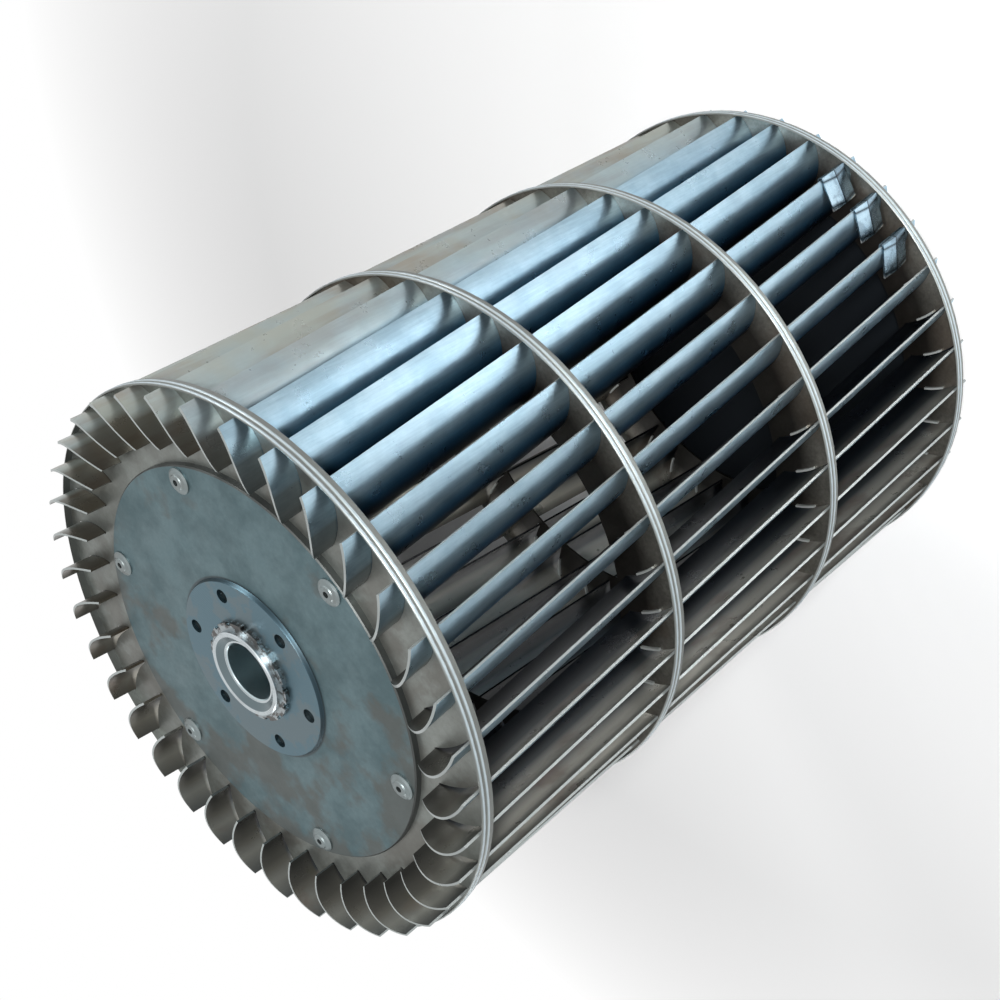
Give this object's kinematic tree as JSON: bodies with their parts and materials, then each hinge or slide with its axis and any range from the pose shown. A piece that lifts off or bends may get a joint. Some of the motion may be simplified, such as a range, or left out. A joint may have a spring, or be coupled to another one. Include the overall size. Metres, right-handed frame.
{
  "type": "blower wheel",
  "caption": "Long single-inlet centrifugal blower wheel: skewed forward-curved sheet blades in four rolled rings, a riveted stiffener disc and a flanged hub with a plain shaft bore.",
  "frame": {"origin": "centre of the open inlet end on the wheel's axis, on the plane through the lower ends of the blades", "axes": "+Z along the wheel's axis from the open inlet end to the closed hub end, +X through one rivet of the stiffener disc, right handed"},
  "size_m": [0.2401, 0.24, 0.3555],
  "materials": {
    "galvanised_blade": "galvanised, rolled",
    "galvanised_ring": "galvanised, rolled",
    "drive_sheet": "galvanised, pressed",
    "disc_sheet": "zinc plated, blanked",
    "flange_sheet": "zinc plated, turned",
    "turned_hub": "turned, bright",
    "collar_steel": "staked, oxidised",
    "rivet_aluminium": "formed",
    "clip_steel": "galvanised, folded"
  },
  "bodies": {
    "root": {"drive_plate": "drive_sheet", "stiffener_disc": "disc_sheet", "disc_rivets": "rivet_aluminium", "hub_flange": "flange_sheet", "hub_bush": "turned_hub", "staked_collar": "collar_steel", "back_ring": "galvanised_ring", "middle_ring_1": "galvanised_ring", "middle_ring_2": "galvanised_ring", "blade_01": "galvanised_blade", "blade_02": "galvanised_blade", "blade_03": "galvanised_blade", "blade_04": "galvanised_blade", "blade_05": "galvanised_blade", "blade_06": "galvanised_blade", "blade_07": "galvanised_blade", "blade_08": "galvanised_blade", "blade_09": "galvanised_blade", "blade_10": "galvanised_blade", "blade_11": "galvanised_blade", "blade_12": "galvanised_blade", "blade_13": "galvanised_blade", "blade_14": "galvanised_blade", "blade_15": "galvanised_blade", "blade_16": "galvanised_blade", "blade_17": "galvanised_blade", "blade_18": "galvanised_blade", "blade_19": "galvanised_blade", "blade_20": "galvanised_blade", "blade_21": "galvanised_blade", "blade_22": "galvanised_blade", "blade_23": "galvanised_blade", "blade_24": "galvanised_blade", "blade_25": "galvanised_blade", "blade_26": "galvanised_blade", "blade_27": "galvanised_blade", "blade_28": "galvanised_blade", "blade_29": "galvanised_blade", "blade_30": "galvanised_blade", "blade_31": "galvanised_blade", "blade_32": "galvanised_blade", "blade_33": "galvanised_blade", "blade_34": "galvanised_blade", "blade_35": "galvanised_blade", "blade_36": "galvanised_blade", "balance_clip_1": "clip_steel", "balance_clip_2": "clip_steel", "balance_clip_3": "clip_steel"}
  },
  "joints": []
}
